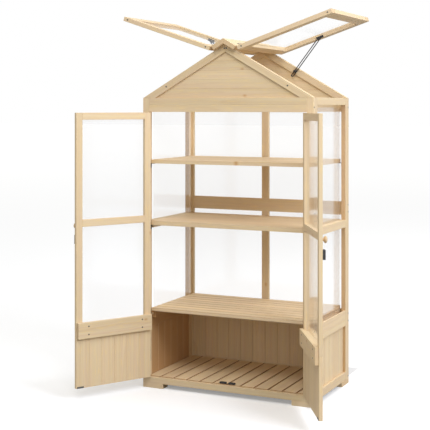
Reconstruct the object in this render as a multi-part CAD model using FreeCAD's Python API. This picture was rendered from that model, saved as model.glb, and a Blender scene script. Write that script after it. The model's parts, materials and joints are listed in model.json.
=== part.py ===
# Wooden mini greenhouse: a slatted cabinet with shelves, two glazed doors and two propped roof lids.
# Millimetres. +X is to the right, +Y to the rear and +Z up, as seen from the front.
# The origin is the middle of the footprint on the floor. Doors and lids are built closed, then opened.

import FreeCAD, Part

import math
import os

# Outline of the cabinet
cabinet_width = 800.0
cabinet_depth = 457.2
eave_height = 1277.0
roof_pitch = 30.0

# Angles at which the doors and lids rest
door_open_angle = 120.0
lid_open_angle = 48.5

# Corner feet, L-shaped
foot_height = 21.0
foot_length_across = 98.0
foot_length_back = 93.0
foot_leg_width = 48.0

# Front and rear frames
end_frame_thickness = 15.0
stile_width = 30.0
header_height = 61.0
header_board_count = 2
apron_below_floor = 2.0
rear_cross_board_bottom = 754.0
rear_cross_board_height = 59.0
rear_centre_post_width = 34.0
rear_board_count = 12

# Side frames
side_frame_thickness = 20.0
side_stile_width = 30.0
bottom_rail_height = 35.0
cabinet_rail_height = 69.0
cabinet_rail_gap = 3.0
rail_lip = 8.0
rail_rebate_depth = 15.0
middle_rail_height = 34.0
eave_rail_height = 31.0
side_board_count = 6

# Vertical and horizontal boarding
board_thickness = 8.0
board_chamfer = 1.5
gable_recess = 8.0
gable_board_count = 5

# Glazing sheets
sheet_thickness = 3.0
side_sheet_setback = 7.0
side_sheet_below_eave = 15.0
door_pane_setback = 1.0

# Floor of slats
floor_bearer_height = 17.0
floor_bearer_width = 20.0
floor_slat_thickness = 12.0
floor_slat_count = 12
floor_slat_gap = 5.0

# Slatted top of the cabinet
cabinet_top = 350.0
cabinet_slat_thickness = 16.0
cabinet_slat_count = 9
cabinet_slat_gap = 4.0
cabinet_bearer_height = 30.0
cabinet_bearer_width = 22.0
cabinet_bearer_setback = 20.0

# Loose shelves above the cabinet
middle_shelf_top = 735.0
middle_shelf_thickness = 20.0
upper_shelf_top = 1005.0
upper_shelf_thickness = 17.0
shelf_board_count = 6
shelf_end_gap = 1.0
shelf_front_gap = 3.6
shelf_rear_gap = 8.6
bracket_width = 18.0
bracket_height = 20.0
bracket_reach = 20.0
bracket_metal = 2.0

# Roof frame
rake_width = 30.0
rake_thickness = 22.6
ridge_board_reach = 53.0
ridge_board_thickness = 19.5
ridge_overhang = 23.4

# Roof lids
lid_eave_overhang = 39.1
lid_overhang = 21.4
lid_roof_gap = 0.5
lid_hinge_gap = 4.0
lid_side_member_width = 45.0
lid_hinge_rail_width = 43.0
lid_outer_rail_width = 47.0
lid_sheet_thickness = 3.5
lid_sheet_depth = 3.5

# Doors
door_thickness = 15.0
door_hinge_gap = 2.4
door_meeting_gap = 2.0
door_top_gap = 2.5
door_floor_gap = 0.5
door_stile_width = 30.0
door_rail_width = 30.0
door_middle_rail_bottom = 731.0
door_board_top = 294.0
door_board_count = 6
batten_bottom = 260.0
batten_height = 68.0
batten_thickness = 15.0
batten_inset = 3.0

# Door knobs, turned from wood
knob_radius = 14.0
knob_projection = 20.0
knob_neck_radius = 7.0

# Barrel bolt on the right door and its keeper on the left door
bolt_height_on_door = 678.0
bolt_body_height = 38.0
bolt_body_width = 26.0
bolt_body_depth = 12.0
bolt_body_edge = 3.0
bolt_body_chamfer = 1.2
knob_above_bolt = 24.0
bolt_axis_depth = 5.0
bolt_radius = 2.5
bolt_length = 28.0
bolt_tip_setback = 1.0
bolt_travel = 11.0
bolt_clearance = 0.1
bolt_handle_radius = 1.8
bolt_handle_projection = 13.0
bolt_handle_setback = 7.6
handle_slot_clearance = 0.4
keeper_width = 9.0
keeper_depth = 10.0
keeper_edge = 3.0

# Magnetic catches on the floor and their plates on the doors
catch_width = 31.0
catch_depth = 14.0
catch_height = 8.0
catch_offset = 5.0
catch_plate_metal = 1.0
catch_gap = 0.4

# Door hinges
door_hinge_length = 60.0
door_hinge_from_bottom = 100.0
door_hinge_from_top = 84.0
door_knuckle_radius = 2.2
door_hinge_notch_clearance = 0.3
door_hinge_pin_radius = 1.0
door_leaf_metal = 1.0
door_leaf_reach = 13.0

# Lid hinges, laid on top of the ridge boards and the lids
lid_hinge_length = 60.0
lid_hinge_offset = 150.0
lid_knuckle_radius = 3.0
lid_hinge_pin_radius = 1.5
lid_leaf_metal = 1.5
lid_leaf_reach = 27.0
hinge_clearance = 0.05
knuckle_gap = 0.3

# Slotted stays that hold the lids
stay_pivot_from_lid_end = 227.0
stay_pivot_above_roof = 2.7
stay_bar_width = 13.0
stay_bar_metal = 3.0
stay_bar_end = 220.5
stay_slot_start = 16.0
stay_slot_end = 213.0
stay_slot_clearance = 0.1
stay_pin_radius = 2.0
stay_pin_head_radius = 4.0
stay_pin_head_height = 2.0
stay_pin_clearance = 0.05
stay_bracket_length = 34.0
stay_bracket_height = 11.0
stay_bracket_top = 10.0
stay_bracket_metal = 2.5
stay_stud_radius = 5.0
stay_stud_length = 4.5
stay_stud_from_eave = 244.0
stay_knob_radius = 7.0
stay_knob_height = 13.0
stay_knob_stem_radius = 2.8
side_play = 0.5

# Screws, with distances from the apex and from the ends of the pieces that they hold
screw_head_radius = 4.0
screw_head_proud = 0.8
bottom_rail_screw_inset = 11.0
cabinet_rail_screw_inset = 18.0
cross_board_screw_inset = 14.0
header_screw_inset = 20.0
batten_screw_inset = 49.0
lid_screw_inset = 20.0
rake_screw_distances = (14.0, 337.0)

# Values worked out from the sizes above
half_width = cabinet_width / 2
half_depth = cabinet_depth / 2
pitch_radians = math.radians(roof_pitch)
slope_cos = math.cos(pitch_radians)
slope_sin = math.sin(pitch_radians)
apex_height = eave_height + half_width * math.tan(pitch_radians)
frame_inner_depth = half_depth - end_frame_thickness
side_inner_width = half_width - side_frame_thickness
doorway_half_width = half_width - stile_width
side_stile_inner = frame_inner_depth - side_stile_width
floor_top = foot_height + floor_bearer_height + floor_slat_thickness
cabinet_underside = cabinet_top - cabinet_slat_thickness
header_bottom = eave_height - header_height
side_sheet_outer = side_inner_width - side_sheet_setback
side_sheet_inner = side_sheet_outer - sheet_thickness
shelf_half_width = side_sheet_inner - shelf_end_gap
shelf_front = -frame_inner_depth + shelf_front_gap
shelf_rear = frame_inner_depth - shelf_rear_gap
door_bottom = floor_top + door_floor_gap
knob_height_on_door = bolt_height_on_door + bolt_body_height / 2 + knob_above_bolt + knob_radius
door_top = header_bottom - door_top_gap
door_hinge_x = -doorway_half_width + door_hinge_gap / 2
door_hinge_y = -half_depth
lid_start = ridge_board_reach + lid_hinge_gap
lid_end = half_width / slope_cos + lid_eave_overhang
lid_half_depth = half_depth + lid_overhang
lid_hinge_s = ridge_board_reach + lid_hinge_gap / 2
lid_hinge_n = ridge_board_thickness + lid_knuckle_radius
stay_pivot_along_lid = lid_end - stay_pivot_from_lid_end
stay_stud_across = half_width - stay_stud_from_eave
stay_bar_plane = half_depth - rake_thickness - stay_stud_length - side_play - stay_bar_metal / 2
round_off = 1e-6


def vector(x, y, z):
    return FreeCAD.Vector(x, y, z)


def box(x_range, y_range, z_range):
    x_low, x_high = sorted(x_range)
    y_low, y_high = sorted(y_range)
    z_low, z_high = sorted(z_range)
    return Part.makeBox(x_high - x_low, y_high - y_low, z_high - z_low, vector(x_low, y_low, z_low))


def cylinder(radius, start, end):
    axis = end - start
    return Part.makeCylinder(radius, axis.Length, start, axis)


def prism_along_y(outline, y_range):
    # outline is a list of (x, z) corners
    y_low, y_high = sorted(y_range)
    corners = [vector(x, y_low, z) for x, z in outline]
    face = Part.Face(Part.makePolygon(corners + corners[:1]))
    return face.extrude(vector(0, y_high - y_low, 0))


def mirrored(shape):
    return shape.mirror(vector(0, 0, 0), vector(1, 0, 0))


def both_sides(shapes):
    return list(shapes) + [mirrored(shape) for shape in shapes]


def mirrored_to_rear(shape):
    return shape.mirror(vector(0, 0, 0), vector(0, 1, 0))


def save(node, solids):
    Part.makeCompound(list(solids)).exportStep("parts/" + node + ".step")


def roof_point(along, y, above):
    # A point given by its distance down the right slope and its height above the roof plane
    x = along * slope_cos + above * slope_sin
    z = apex_height - along * slope_sin + above * slope_cos
    return vector(x, y, z)


def roof_box(along_range, y_range, above_range):
    shape = box(along_range, y_range, above_range)
    shape.rotate(vector(0, 0, 0), vector(0, 1, 0), roof_pitch)
    shape.translate(vector(0, 0, apex_height))
    return shape


def chamfered_board(x_range, y_range, z_range, run, faces):
    # A board with its long edges chamfered on the given faces, such as "-y" or "+x"
    shape = box(x_range, y_range, z_range)
    limits = {"x": sorted(x_range), "y": sorted(y_range), "z": sorted(z_range)}
    edges = []
    for edge in shape.Edges:
        middle = edge.CenterOfMass
        direction = edge.Vertexes[1].Point - edge.Vertexes[0].Point
        if abs(getattr(direction, run)) < round_off:
            continue
        for face in faces:
            limit = limits[face[1]][1] if face[0] == "+" else limits[face[1]][0]
            if abs(getattr(middle, face[1]) - limit) < round_off:
                edges.append(edge)
                break
    return shape.makeChamfer(board_chamfer, edges)


def row_of_boards(span, count, gap):
    # Ranges of equal boards that fill the span, with the gap between neighbours
    low, high = span
    width = (high - low - gap * (count - 1)) / count
    return [(low + i * (width + gap), low + i * (width + gap) + width) for i in range(count)]


def hinge_leaf(length, radius, pin_radius, metal, reach, plate_low, outer):
    # A leaf around the local Z axis, with its plate running along local +X.
    # The outer leaf has the two end knuckles and the pin, the inner one has the middle knuckle.
    third = length / 3
    plate_start = radius + knuckle_gap
    shape = box((plate_start, reach), (plate_low, plate_low + metal), (-length / 2, length / 2))
    if outer:
        spans = [(-length / 2, -third / 2 - knuckle_gap / 2), (third / 2 + knuckle_gap / 2, length / 2)]
    else:
        spans = [(-third / 2 + knuckle_gap / 2, third / 2 - knuckle_gap / 2)]
    for low, high in spans:
        knuckle = cylinder(radius, vector(0, 0, low), vector(0, 0, high))
        tab = box((0, plate_start), (plate_low, plate_low + metal), (low, high))
        shape = shape.fuse(knuckle).fuse(tab)
    pin_low = vector(0, 0, -length / 2)
    pin_high = vector(0, 0, length / 2)
    if outer:
        shape = shape.fuse(cylinder(pin_radius, pin_low, pin_high))
    else:
        shape = shape.cut(cylinder(pin_radius + hinge_clearance, pin_low, pin_high))
    return shape.removeSplitter()


def make_corner_feet():
    across = box(
        (half_width - foot_length_across, half_width),
        (half_depth - foot_leg_width, half_depth),
        (0, foot_height),
    )
    back = box(
        (half_width - foot_leg_width, half_width),
        (half_depth - foot_length_back, half_depth),
        (0, foot_height),
    )
    foot = across.fuse(back).removeSplitter()
    right = [foot, mirrored_to_rear(foot)]
    return both_sides(right)


def front_stile():
    return box(
        (-half_width, -doorway_half_width),
        (-half_depth, -frame_inner_depth),
        (foot_height, eave_height),
    )


def make_front_stiles():
    return both_sides([notched_for_hinges(front_stile())])


def make_rear_stiles():
    return both_sides([mirrored_to_rear(front_stile())])


def front_rail(z_low, z_high):
    across = (-doorway_half_width, doorway_half_width)
    return box(across, (-half_depth, -frame_inner_depth), (z_low, z_high))


def rear_rail(z_low, z_high):
    return mirrored_to_rear(front_rail(z_low, z_high))


def cabinet_rail_range():
    top = cabinet_underside - cabinet_rail_gap
    return top - cabinet_rail_height, top


def make_front_header():
    boards = row_of_boards((header_bottom, eave_height), header_board_count, 0)
    return [front_rail(*heights) for heights in boards]


def make_rear_rails():
    rails = [
        rear_rail(foot_height, foot_height + bottom_rail_height),
        rear_rail(*cabinet_rail_range()),
    ]
    return rails + [mirrored_to_rear(board) for board in make_front_header()]


def rear_cross_board_range():
    return rear_cross_board_bottom, rear_cross_board_bottom + rear_cross_board_height


def make_rear_cross_board():
    return [rear_rail(*rear_cross_board_range())]


def rear_bays():
    # Heights of the three open stretches of the rear frame, from the bottom up
    cabinet_low, cabinet_high = cabinet_rail_range()
    cross_low, cross_high = rear_cross_board_range()
    return [
        (foot_height + bottom_rail_height, cabinet_low),
        (cabinet_high, cross_low),
        (cross_high, header_bottom),
    ]


def make_rear_centre_post():
    half = rear_centre_post_width / 2
    return [box((-half, half), (frame_inner_depth, half_depth), bay) for bay in rear_bays()[1:]]


def make_rear_lower_boards():
    bay = rear_bays()[0]
    depth = (frame_inner_depth, frame_inner_depth + board_thickness)
    boards = row_of_boards((-doorway_half_width, doorway_half_width), rear_board_count, 0)
    return [chamfered_board(x_range, depth, bay, "z", ("-y", "+y")) for x_range in boards]


def make_rear_panes():
    middle = frame_inner_depth + end_frame_thickness / 2
    depth = (middle - sheet_thickness / 2, middle + sheet_thickness / 2)
    across = (rear_centre_post_width / 2, doorway_half_width)
    return both_sides([box(across, depth, bay) for bay in rear_bays()[1:]])


def make_side_stiles():
    stile = box(
        (side_inner_width, half_width),
        (side_stile_inner, frame_inner_depth),
        (foot_height, eave_height),
    )
    return both_sides([stile, mirrored_to_rear(stile)])


def side_rail(z_low, z_high):
    return box((side_inner_width, half_width), (-side_stile_inner, side_stile_inner), (z_low, z_high))


def make_side_rails():
    cabinet_low, cabinet_high = cabinet_rail_range()
    rebate = box(
        (side_inner_width, half_width - rail_lip),
        (-side_stile_inner, side_stile_inner),
        (cabinet_high - rail_rebate_depth, cabinet_high),
    )
    rails = [
        side_rail(foot_height, foot_height + bottom_rail_height),
        side_rail(cabinet_low, cabinet_high).cut(rebate),
        side_rail(middle_shelf_top - middle_rail_height, middle_shelf_top),
        side_rail(eave_height - eave_rail_height, eave_height),
    ]
    return both_sides(rails)


def make_side_boards():
    across = (side_inner_width, side_inner_width + board_thickness)
    heights = (foot_height + bottom_rail_height, cabinet_rail_range()[0])
    boards = row_of_boards((-side_stile_inner, side_stile_inner), side_board_count, 0)
    return both_sides([chamfered_board(across, y_range, heights, "z", ("-x", "+x")) for y_range in boards])


def make_side_sheet():
    # It stands in the rebate of the cabinet top's bearer, past the ends of the slats
    return box(
        (side_sheet_inner, side_sheet_outer),
        (-side_stile_inner, side_stile_inner),
        (cabinet_rail_range()[1] - rail_rebate_depth, eave_height - side_sheet_below_eave),
    )


def make_sheet_battens():
    # Strips that hold a side sheet off the rails
    spans = [
        (middle_shelf_top - middle_rail_height, middle_shelf_top),
        (eave_height - eave_rail_height, eave_height - side_sheet_below_eave),
    ]
    depth = (-side_stile_inner, side_stile_inner)
    return both_sides([box((side_sheet_outer, side_inner_width), depth, span) for span in spans])


def make_floor_bearers():
    front = box(
        (-side_inner_width, side_inner_width),
        (-frame_inner_depth, -frame_inner_depth + floor_bearer_width),
        (foot_height, foot_height + floor_bearer_height),
    )
    return [front, mirrored_to_rear(front)]


def make_floor_slats():
    columns = row_of_boards((-side_inner_width, side_inner_width), floor_slat_count, floor_slat_gap)
    depth = (-frame_inner_depth, frame_inner_depth)
    heights = (floor_top - floor_slat_thickness, floor_top)
    return [box(x_range, depth, heights) for x_range in columns]


def make_cabinet_bearers():
    bearer = box(
        (side_inner_width - cabinet_bearer_width, side_inner_width),
        (shelf_front + cabinet_bearer_setback, shelf_rear),
        (cabinet_underside - cabinet_bearer_height, cabinet_underside),
    )
    rebate = box(
        (side_sheet_inner - shelf_end_gap / 2, side_inner_width),
        (-frame_inner_depth, frame_inner_depth),
        (cabinet_rail_range()[1] - rail_rebate_depth, cabinet_underside),
    )
    return both_sides([bearer.cut(rebate)])


def make_cabinet_slats():
    rows = row_of_boards((shelf_front, shelf_rear), cabinet_slat_count, cabinet_slat_gap)
    across = (-shelf_half_width, shelf_half_width)
    return [box(across, y_range, (cabinet_underside, cabinet_top)) for y_range in rows]


def make_shelf(top, thickness):
    rows = row_of_boards((shelf_front, shelf_rear), shelf_board_count, 0)
    across = (-shelf_half_width, shelf_half_width)
    return [box(across, y_range, (top - thickness, top)) for y_range in rows]


def make_shelf_brackets():
    middle = side_stile_inner + side_stile_width / 2
    depth = (middle - bracket_width / 2, middle + bracket_width / 2)
    brackets = []
    for underside in (middle_shelf_top - middle_shelf_thickness, upper_shelf_top - upper_shelf_thickness):
        plate = box(
            (side_inner_width - bracket_metal, side_inner_width),
            depth,
            (underside - bracket_height, underside),
        )
        tab = box(
            (side_inner_width - bracket_reach, side_inner_width),
            depth,
            (underside - bracket_metal, underside),
        )
        bracket = plate.fuse(tab).removeSplitter()
        brackets += [bracket, mirrored_to_rear(bracket)]
    return both_sides(brackets)


def rake_inner_height(x):
    # Height of the lower edge of a rake board
    return apex_height - rake_width / slope_cos - abs(x) * math.tan(pitch_radians)


def rake_inner_width(z):
    return (rake_inner_height(0) - z) / math.tan(pitch_radians)


def make_rake_boards():
    outline = [
        (0, apex_height),
        (half_width, eave_height),
        (rake_inner_width(eave_height), eave_height),
        (0, rake_inner_height(0)),
    ]
    rake = prism_along_y(outline, (-half_depth, -half_depth + rake_thickness))
    return both_sides([rake, mirrored_to_rear(rake)])


def make_gable_boards():
    depth = (-half_depth + gable_recess, -half_depth + gable_recess + board_thickness)
    boards = []
    for low, high in row_of_boards((eave_height, rake_inner_height(0)), gable_board_count, 0):
        bottom = rake_inner_width(low)
        top = rake_inner_width(high)
        outline = [(-bottom, low), (bottom, low), (top, high), (-top, high)]
        if top < round_off:
            outline = [(-bottom, low), (bottom, low), (0, high)]
        boards.append(prism_along_y(outline, depth))
    return boards + [mirrored_to_rear(board) for board in boards]


def make_ridge_boards():
    top_peak = apex_height + ridge_board_thickness / slope_cos
    lower = roof_point(ridge_board_reach, 0, 0)
    upper = roof_point(ridge_board_reach, 0, ridge_board_thickness)
    outline = [(0, apex_height), (lower.x, lower.z), (upper.x, upper.z), (0, top_peak)]
    reach = half_depth + ridge_overhang
    return both_sides([prism_along_y(outline, (-reach, reach))])


def make_magnetic_catches():
    front = -frame_inner_depth + catch_plate_metal + catch_gap
    catch = box(
        (catch_offset, catch_offset + catch_width),
        (front, front + catch_depth),
        (floor_top, floor_top + catch_height),
    )
    return both_sides([catch])


def screw_head(point, outward):
    return cylinder(screw_head_radius, point, point + outward * screw_head_proud)


def stile_screw_heights():
    cabinet_low, cabinet_high = cabinet_rail_range()
    cross_low, cross_high = rear_cross_board_range()
    return [
        foot_height + bottom_rail_screw_inset,
        cabinet_low + cabinet_rail_screw_inset,
        cabinet_high - cabinet_rail_screw_inset,
        cross_low + cross_board_screw_inset,
        cross_high - cross_board_screw_inset,
        header_bottom + header_screw_inset,
    ]


def make_carcass_screws():
    screws = []
    middle = half_depth - end_frame_thickness / 2
    for height in stile_screw_heights():
        screws.append(screw_head(vector(half_width, middle, height), vector(1, 0, 0)))
        screws.append(screw_head(vector(half_width, -middle, height), vector(1, 0, 0)))
    for distance in rake_screw_distances:
        point = roof_point(distance, -half_depth, -rake_width / 2)
        screws.append(screw_head(point, vector(0, -1, 0)))
        point = roof_point(distance, half_depth, -rake_width / 2)
        screws.append(screw_head(point, vector(0, 1, 0)))
    return both_sides(screws)


def stay_stud_centre():
    # The fixed point of the stay lies on the centre line of the rear rake board
    top = apex_height - stay_stud_across * math.tan(pitch_radians)
    height = (top + rake_inner_height(stay_stud_across)) / 2
    return vector(stay_stud_across, stay_bar_plane, height)


def make_stay_studs():
    centre = stay_stud_centre()
    start = vector(centre.x, stay_bar_plane + stay_bar_metal / 2 + side_play, centre.z)
    end = vector(centre.x, half_depth - rake_thickness, centre.z)
    return both_sides([cylinder(stay_stud_radius, start, end)])


def door_hinge_heights():
    low = door_bottom + door_hinge_from_bottom
    high = door_top - door_hinge_from_top
    return [low, (low + high) / 2, high]


def notched_for_hinges(timber):
    # Room for the knuckles of the left door's hinges in the edge of a timber
    for height in door_hinge_heights():
        half = door_hinge_length / 2 + knuckle_gap
        low = vector(door_hinge_x, door_hinge_y, height - half)
        high = vector(door_hinge_x, door_hinge_y, height + half)
        timber = timber.cut(cylinder(door_knuckle_radius + door_hinge_notch_clearance, low, high))
    return timber


def door_hinge_leaves(outer):
    # Leaves at the left of the doorway, plates running back between the stile and the door's edge
    gap = door_hinge_gap / 2
    plate_low = gap - door_leaf_metal if outer else -gap
    leaves = []
    for height in door_hinge_heights():
        leaf = hinge_leaf(
            door_hinge_length,
            door_knuckle_radius,
            door_hinge_pin_radius,
            door_leaf_metal,
            door_leaf_reach,
            plate_low,
            outer,
        )
        leaf.rotate(vector(0, 0, 0), vector(0, 0, 1), 90)
        leaf.translate(vector(door_hinge_x, door_hinge_y, height))
        leaves.append(leaf)
    return leaves


def lid_hinge_leaves(outer):
    leaves = []
    for y in (-lid_hinge_offset, lid_hinge_offset):
        leaf = hinge_leaf(
            lid_hinge_length,
            lid_knuckle_radius,
            lid_hinge_pin_radius,
            lid_leaf_metal,
            lid_leaf_reach,
            -lid_knuckle_radius,
            outer,
        )
        if outer:
            leaf = mirrored(leaf)
        leaf.rotate(vector(0, 0, 0), vector(1, 0, 0), 90)
        leaf.translate(vector(lid_hinge_s, y, lid_hinge_n))
        leaf.rotate(vector(0, 0, 0), vector(0, 1, 0), roof_pitch)
        leaf.translate(vector(0, 0, apex_height))
        leaves.append(leaf)
    return leaves


def door_edges():
    return -doorway_half_width + door_hinge_gap, -door_meeting_gap / 2


def door_depth():
    return -half_depth, -half_depth + door_thickness


def door_pane_edges():
    low, high = door_edges()
    return low + door_stile_width, high - door_stile_width


def make_door_frame():
    low, high = door_edges()
    pane_low, pane_high = door_pane_edges()
    depth = door_depth()
    rail_bottoms = (door_board_top, door_middle_rail_bottom, door_top - door_rail_width)
    frame = [
        notched_for_hinges(box((low, pane_low), depth, (door_board_top, door_top))),
        box((pane_high, high), depth, (door_board_top, door_top)),
    ]
    for bottom in rail_bottoms:
        frame.append(box((pane_low, pane_high), depth, (bottom, bottom + door_rail_width)))
    return frame


def make_door_boards():
    boards = row_of_boards(door_edges(), door_board_count, 0)
    heights = (door_bottom, door_board_top)
    boards = [chamfered_board(x_range, door_depth(), heights, "z", ("-y", "+y")) for x_range in boards]
    return [notched_for_hinges(boards[0])] + boards[1:]


def make_door_batten():
    low, high = door_edges()
    inner = -half_depth + door_thickness
    return [
        box(
            (low + batten_inset, high - batten_inset),
            (inner, inner + batten_thickness),
            (batten_bottom, batten_bottom + batten_height),
        )
    ]


def make_door_panes():
    outer = -half_depth + door_pane_setback
    depth = (outer, outer + sheet_thickness)
    lower = (door_board_top + door_rail_width, door_middle_rail_bottom)
    upper = (door_middle_rail_bottom + door_rail_width, door_top - door_rail_width)
    return [box(door_pane_edges(), depth, lower), box(door_pane_edges(), depth, upper)]


def make_door_knob():
    # Profile as (radius, distance from the door), turned about its own axis
    egg = [
        (knob_neck_radius, 0.0),
        (0.8 * knob_neck_radius, 0.25 * knob_projection),
        (0.85 * knob_radius, 0.42 * knob_projection),
        (knob_radius, 0.65 * knob_projection),
        (0.75 * knob_radius, 0.9 * knob_projection),
        (0.0, knob_projection),
    ]
    points = [vector(radius, -distance, 0) for radius, distance in egg]
    curve = Part.BSplineCurve()
    curve.interpolate(points)
    base = Part.makeLine(vector(0, 0, 0), points[0])
    axis = Part.makeLine(points[-1], vector(0, 0, 0))
    profile = Part.Face(Part.Wire([base, curve.toShape(), axis]))
    knob = profile.revolve(vector(0, 0, 0), vector(0, 1, 0), 360)
    knob.translate(vector(door_edges()[1] - door_stile_width / 2, -half_depth, knob_height_on_door))
    return [knob]


def make_catch_plate():
    inner = -half_depth + door_thickness
    return [
        box(
            (-catch_offset - catch_width, -catch_offset),
            (inner, inner + catch_plate_metal),
            (floor_top + door_floor_gap, floor_top + catch_height),
        )
    ]


def make_batten_screws():
    low, high = door_edges()
    face = -half_depth + door_thickness + batten_thickness
    columns = (low + batten_inset + batten_screw_inset, high - batten_inset - batten_screw_inset)
    rows = ((batten_bottom + door_board_top) / 2, (batten_bottom + batten_height + door_board_top) / 2)
    return [screw_head(vector(x, face, z), vector(0, 1, 0)) for x in columns for z in rows]


def bolt_axis_y():
    return -half_depth - bolt_axis_depth


def bolt_housing(x_range, depth):
    # A block on the door's face with a bore along X for the bolt
    half = bolt_body_height / 2
    outer = -half_depth - depth
    body = box(x_range, (outer, -half_depth), (bolt_height_on_door - half, bolt_height_on_door + half))
    rim = [edge for edge in body.Edges if abs(edge.CenterOfMass.y - outer) < round_off]
    body = body.makeChamfer(bolt_body_chamfer, rim)
    low = vector(min(x_range), bolt_axis_y(), bolt_height_on_door)
    high = vector(max(x_range), bolt_axis_y(), bolt_height_on_door)
    return body.cut(cylinder(bolt_radius + bolt_clearance, low, high))


def bolt_body_range():
    edge = door_meeting_gap / 2 + bolt_body_edge
    return edge, edge + bolt_body_width


def bolt_handle_x():
    return bolt_body_range()[1] - bolt_handle_setback


def make_bolt_plate():
    # The housing has a slot through which the bolt's handle reaches out
    half = bolt_handle_radius + handle_slot_clearance
    slot = box(
        (bolt_handle_x() - bolt_travel - half, bolt_handle_x() + half),
        (-half_depth - bolt_body_depth, bolt_axis_y()),
        (bolt_height_on_door - half, bolt_height_on_door + half),
    )
    return [bolt_housing(bolt_body_range(), bolt_body_depth).cut(slot)]


def make_bolt_keeper():
    edge = -door_meeting_gap / 2 - keeper_edge
    return [bolt_housing((edge - keeper_width, edge), keeper_depth)]


def make_bolt():
    start = door_meeting_gap / 2 + bolt_tip_setback
    y = bolt_axis_y()
    rod = cylinder(
        bolt_radius,
        vector(start, y, bolt_height_on_door),
        vector(start + bolt_length, y, bolt_height_on_door),
    )
    handle = cylinder(
        bolt_handle_radius,
        vector(bolt_handle_x(), y, bolt_height_on_door),
        vector(bolt_handle_x(), -half_depth - bolt_handle_projection, bolt_height_on_door),
    )
    return [rod.fuse(handle).removeSplitter()]


def open_left_door(shapes):
    for shape in shapes:
        shape.rotate(vector(door_hinge_x, door_hinge_y, 0), vector(0, 0, 1), -door_open_angle)
    return shapes


def open_right_door(shapes):
    for shape in shapes:
        shape.rotate(vector(-door_hinge_x, door_hinge_y, 0), vector(0, 0, 1), door_open_angle)
    return shapes


def open_right_lid(shapes):
    for shape in shapes:
        shape.rotate(roof_point(lid_hinge_s, 0, lid_hinge_n), vector(0, 1, 0), -lid_open_angle)
    return shapes


def lid_levels():
    return lid_roof_gap, ridge_board_thickness


def make_lid_frame():
    end = lid_end
    inner = lid_half_depth - lid_side_member_width
    front = roof_box((lid_start, end), (-lid_half_depth, -inner), lid_levels())
    hinge_rail = roof_box((lid_start, lid_start + lid_hinge_rail_width), (-inner, inner), lid_levels())
    outer_rail = roof_box((end - lid_outer_rail_width, end), (-inner, inner), lid_levels())
    return [front, mirrored_to_rear(front), hinge_rail, outer_rail]


def make_lid_sheet():
    inner = lid_half_depth - lid_side_member_width
    top = ridge_board_thickness - lid_sheet_depth
    return [
        roof_box(
            (lid_start + lid_hinge_rail_width, lid_end - lid_outer_rail_width),
            (-inner, inner),
            (top - lid_sheet_thickness, top),
        )
    ]


def make_lid_screws():
    middle = (lid_levels()[0] + lid_levels()[1]) / 2
    screws = []
    for along in (lid_start + lid_screw_inset, lid_end - lid_screw_inset):
        screws.append(screw_head(roof_point(along, -lid_half_depth, middle), vector(0, -1, 0)))
        screws.append(screw_head(roof_point(along, lid_half_depth, middle), vector(0, 1, 0)))
    return screws


def stay_pivot(y):
    return roof_point(stay_pivot_along_lid, y, stay_pivot_above_roof)


def make_stay_bracket():
    # A plate on the inner face of the lid's rear member, with the pin that carries the bar
    face = lid_half_depth - lid_side_member_width
    bar_front = stay_bar_plane - stay_bar_metal / 2
    plate = roof_box(
        (stay_pivot_along_lid - stay_bracket_length / 2, stay_pivot_along_lid + stay_bracket_length / 2),
        (face - stay_bracket_metal, face),
        (stay_bracket_top - stay_bracket_height, stay_bracket_top),
    )
    head_start = bar_front - side_play / 2
    pin = cylinder(stay_pin_radius, stay_pivot(face - stay_bracket_metal), stay_pivot(head_start))
    head = cylinder(
        stay_pin_head_radius,
        stay_pivot(head_start),
        stay_pivot(head_start - stay_pin_head_height),
    )
    return [plate.fuse(pin).fuse(head).removeSplitter()]


def make_stay_bar(pivot, towards):
    # Built along local X from the pivot, then turned to point at the fixed stud
    half = stay_bar_metal / 2
    near = vector(0, -half, 0)
    far_end = stay_bar_end - stay_bar_width / 2
    bar = box((0, far_end), (-half, half), (-stay_bar_width / 2, stay_bar_width / 2))
    for x in (0, far_end):
        bar = bar.fuse(cylinder(stay_bar_width / 2, vector(x, -half, 0), vector(x, half, 0)))
    bar = bar.cut(cylinder(stay_pin_radius + stay_pin_clearance, near, vector(0, half, 0)))
    slot_radius = stay_knob_stem_radius + stay_slot_clearance
    slot = box((stay_slot_start, stay_slot_end), (-half, half), (-slot_radius, slot_radius))
    for x in (stay_slot_start, stay_slot_end):
        slot = slot.fuse(cylinder(slot_radius, vector(x, -half, 0), vector(x, half, 0)))
    bar = bar.cut(slot).removeSplitter()
    direction = towards - pivot
    angle = math.degrees(math.atan2(direction.z, direction.x))
    bar.rotate(vector(0, 0, 0), vector(0, 1, 0), -angle)
    bar.translate(pivot)
    return [bar]


def make_stay_knob(centre):
    front = stay_bar_plane - stay_bar_metal / 2 - side_play
    stem_end = stay_bar_plane + stay_bar_metal / 2 + side_play / 2
    grip = cylinder(
        stay_knob_radius,
        vector(centre.x, front - stay_knob_height, centre.z),
        vector(centre.x, front, centre.z),
    )
    stem = cylinder(
        stay_knob_stem_radius,
        vector(centre.x, front, centre.z),
        vector(centre.x, stem_end, centre.z),
    )
    return [grip.fuse(stem).removeSplitter()]


def lid_pieces():
    # The right lid's pieces as they stand with the lid open
    bracket = open_right_lid(make_stay_bracket())
    pivot_closed = Part.Vertex(stay_pivot(stay_bar_plane))
    pivot = open_right_lid([pivot_closed])[0].Point
    stud = stay_stud_centre()
    return {
        "frame": open_right_lid(make_lid_frame()),
        "sheet": open_right_lid(make_lid_sheet()),
        "fixings": open_right_lid(lid_hinge_leaves(False) + make_lid_screws()),
        "stay_bracket": bracket,
        "stay_bar": make_stay_bar(pivot, stud),
        "stay_knob": make_stay_knob(stud),
    }


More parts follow.
